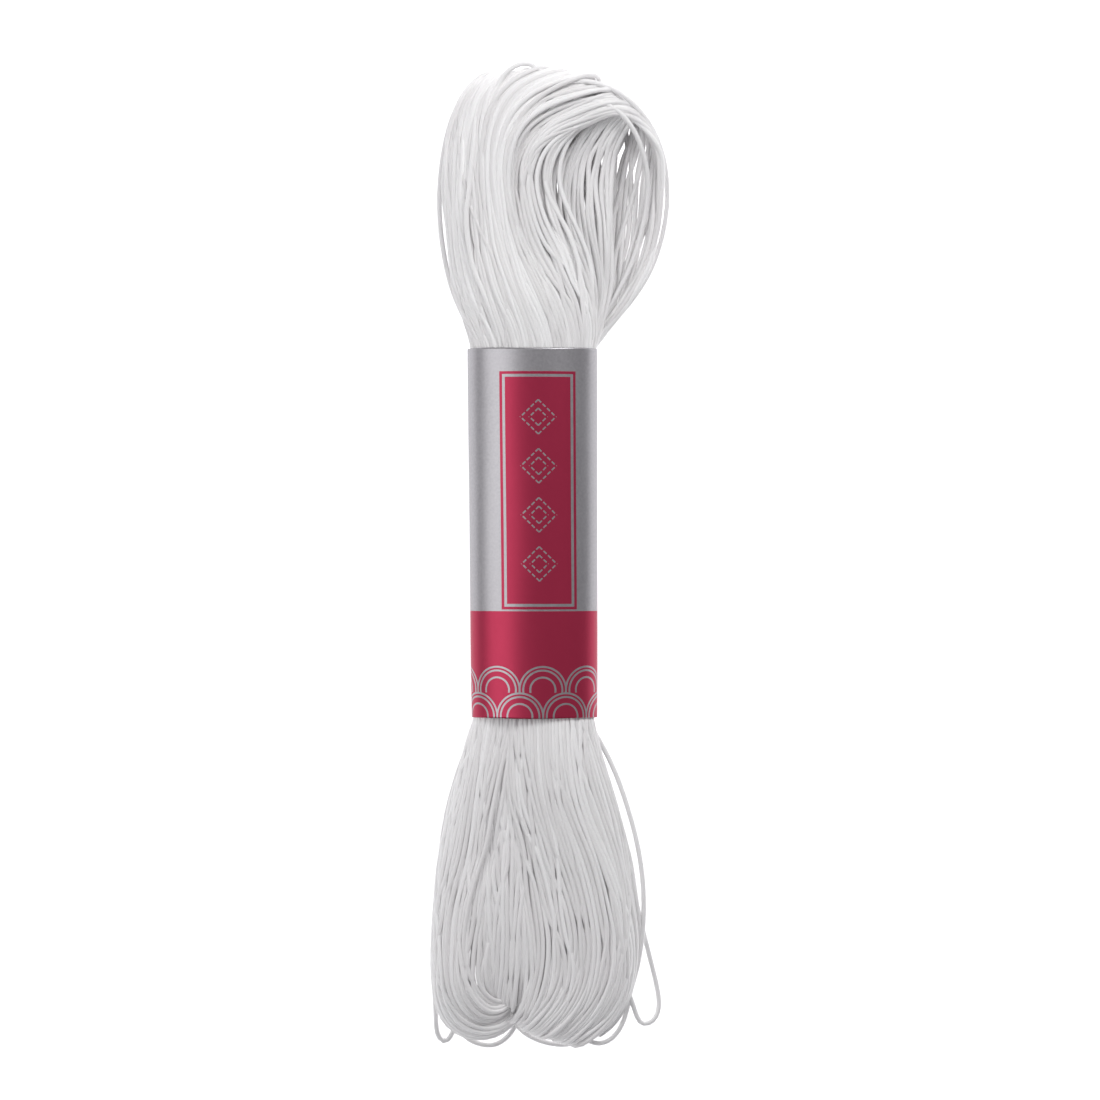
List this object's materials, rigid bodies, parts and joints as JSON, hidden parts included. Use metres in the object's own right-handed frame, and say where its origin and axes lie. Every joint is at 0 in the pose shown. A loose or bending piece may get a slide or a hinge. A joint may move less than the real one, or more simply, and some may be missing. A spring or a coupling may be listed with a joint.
{
  "type": "embroidery thread skein",
  "caption": "Skein of white cotton embroidery thread lying on its back, its turns spread and curled at both ends and held by a printed paper band.",
  "frame": {"origin": "on the resting surface, under the middle of the skein's bounding box", "axes": "+Y along the skein, towards the loop with the open eye; +Z up from the resting surface, towards the printed face of the band; +X to the right, seen from above with +Y up"},
  "size_m": [0.0353, 0.1503, 0.0111],
  "materials": {
    "white cotton": "matt, with a soft sheen along the strands",
    "printed paper": "satin, silver ground with crimson print"
  },
  "bodies": {
    "root": {"hank": "white cotton", "paper_band": "printed paper"}
  },
  "joints": []
}
